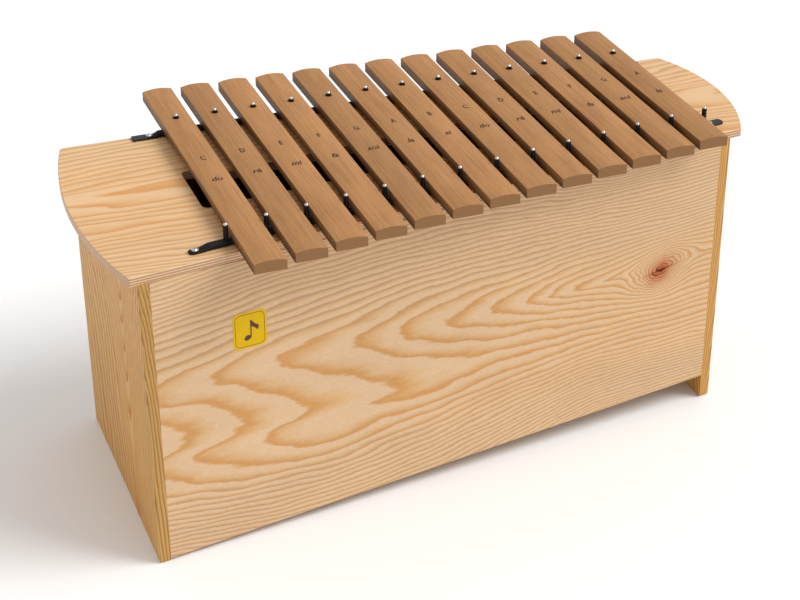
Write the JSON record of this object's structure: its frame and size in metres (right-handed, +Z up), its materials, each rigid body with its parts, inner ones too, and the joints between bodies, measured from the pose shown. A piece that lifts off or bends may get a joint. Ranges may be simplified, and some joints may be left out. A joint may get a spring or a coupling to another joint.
{
  "type": "bass xylophone",
  "caption": "Diatonic bass xylophone with wooden bars held by pins over padded rails on a tapered resonator box.",
  "frame": {"origin": "on the floor below the middle of the instrument's bounding box", "axes": "+X along the box from the low notes to the high notes, +Y away from the player, +Z up"},
  "size_m": [0.9957, 0.561, 0.4808],
  "materials": {
    "pine_veneer": "satin lacquered pine veneer with strong growth rings",
    "pine_plywood": "satin lacquered pine plywood with bare ply edges",
    "inner_plywood": "sawn and unlacquered",
    "beech_dowel": "plain turned beech",
    "bar_wood": "fine-grained, planed and waxed to a satin",
    "rail_braid": "black woven braid over a foam core",
    "sleeve_rubber": "satin black tube",
    "nickel_steel": "bright nickel-plated steel",
    "label_film": "glossy printed yellow film"
  },
  "bodies": {
    "resonator_box": {"left_end_panel": "pine_veneer", "right_end_panel": "pine_veneer", "front_panel": "pine_veneer", "back_panel": "pine_veneer", "bottom_panel": "inner_plywood", "front_cleat": "inner_plywood", "back_cleat": "inner_plywood", "chamber_partition_01": "inner_plywood", "chamber_partition_02": "inner_plywood", "chamber_partition_03": "inner_plywood", "chamber_partition_04": "inner_plywood", "chamber_partition_05": "inner_plywood", "chamber_partition_06": "inner_plywood", "chamber_partition_07": "inner_plywood", "chamber_partition_08": "inner_plywood", "chamber_partition_09": "inner_plywood", "chamber_partition_10": "inner_plywood", "chamber_partition_11": "inner_plywood", "chamber_partition_12": "inner_plywood", "panel_dowels": "beech_dowel", "top_board": "pine_plywood", "front_bar_rail": "rail_braid", "rear_bar_rail": "rail_braid", "front_pins": "nickel_steel", "rear_pins": "nickel_steel", "front_pin_sleeves": "sleeve_rubber", "rear_pin_sleeves": "sleeve_rubber", "rail_washers": "nickel_steel", "rail_screws": "nickel_steel", "front_label": "label_film"},
    "sound_bar_01_c": {"bar_01_c": "bar_wood"},
    "sound_bar_02_d": {"bar_02_d": "bar_wood"},
    "sound_bar_03_e": {"bar_03_e": "bar_wood"},
    "sound_bar_04_f": {"bar_04_f": "bar_wood"},
    "sound_bar_05_g": {"bar_05_g": "bar_wood"},
    "sound_bar_06_a": {"bar_06_a": "bar_wood"},
    "sound_bar_07_b": {"bar_07_b": "bar_wood"},
    "sound_bar_08_c": {"bar_08_c": "bar_wood"},
    "sound_bar_09_d": {"bar_09_d": "bar_wood"},
    "sound_bar_10_e": {"bar_10_e": "bar_wood"},
    "sound_bar_11_f": {"bar_11_f": "bar_wood"},
    "sound_bar_12_g": {"bar_12_g": "bar_wood"},
    "sound_bar_13_a": {"bar_13_a": "bar_wood"}
  },
  "joints": [
    {"name": "bar_01_c_lift", "type": "slide", "parent": "resonator_box", "child": "sound_bar_01_c", "axis": [0, 0, 1], "range_m": [0, 0.06]},
    {"name": "bar_02_d_lift", "type": "slide", "parent": "resonator_box", "child": "sound_bar_02_d", "axis": [0, 0, 1], "range_m": [0, 0.06]},
    {"name": "bar_03_e_lift", "type": "slide", "parent": "resonator_box", "child": "sound_bar_03_e", "axis": [0, 0, 1], "range_m": [0, 0.06]},
    {"name": "bar_04_f_lift", "type": "slide", "parent": "resonator_box", "child": "sound_bar_04_f", "axis": [0, 0, 1], "range_m": [0, 0.06]},
    {"name": "bar_05_g_lift", "type": "slide", "parent": "resonator_box", "child": "sound_bar_05_g", "axis": [0, 0, 1], "range_m": [0, 0.06]},
    {"name": "bar_06_a_lift", "type": "slide", "parent": "resonator_box", "child": "sound_bar_06_a", "axis": [0, 0, 1], "range_m": [0, 0.06]},
    {"name": "bar_07_b_lift", "type": "slide", "parent": "resonator_box", "child": "sound_bar_07_b", "axis": [0, 0, 1], "range_m": [0, 0.06]},
    {"name": "bar_08_c_lift", "type": "slide", "parent": "resonator_box", "child": "sound_bar_08_c", "axis": [0, 0, 1], "range_m": [0, 0.06]},
    {"name": "bar_09_d_lift", "type": "slide", "parent": "resonator_box", "child": "sound_bar_09_d", "axis": [0, 0, 1], "range_m": [0, 0.06]},
    {"name": "bar_10_e_lift", "type": "slide", "parent": "resonator_box", "child": "sound_bar_10_e", "axis": [0, 0, 1], "range_m": [0, 0.06]},
    {"name": "bar_11_f_lift", "type": "slide", "parent": "resonator_box", "child": "sound_bar_11_f", "axis": [0, 0, 1], "range_m": [0, 0.06]},
    {"name": "bar_12_g_lift", "type": "slide", "parent": "resonator_box", "child": "sound_bar_12_g", "axis": [0, 0, 1], "range_m": [0, 0.06]},
    {"name": "bar_13_a_lift", "type": "slide", "parent": "resonator_box", "child": "sound_bar_13_a", "axis": [0, 0, 1], "range_m": [0, 0.06]}
  ]
}
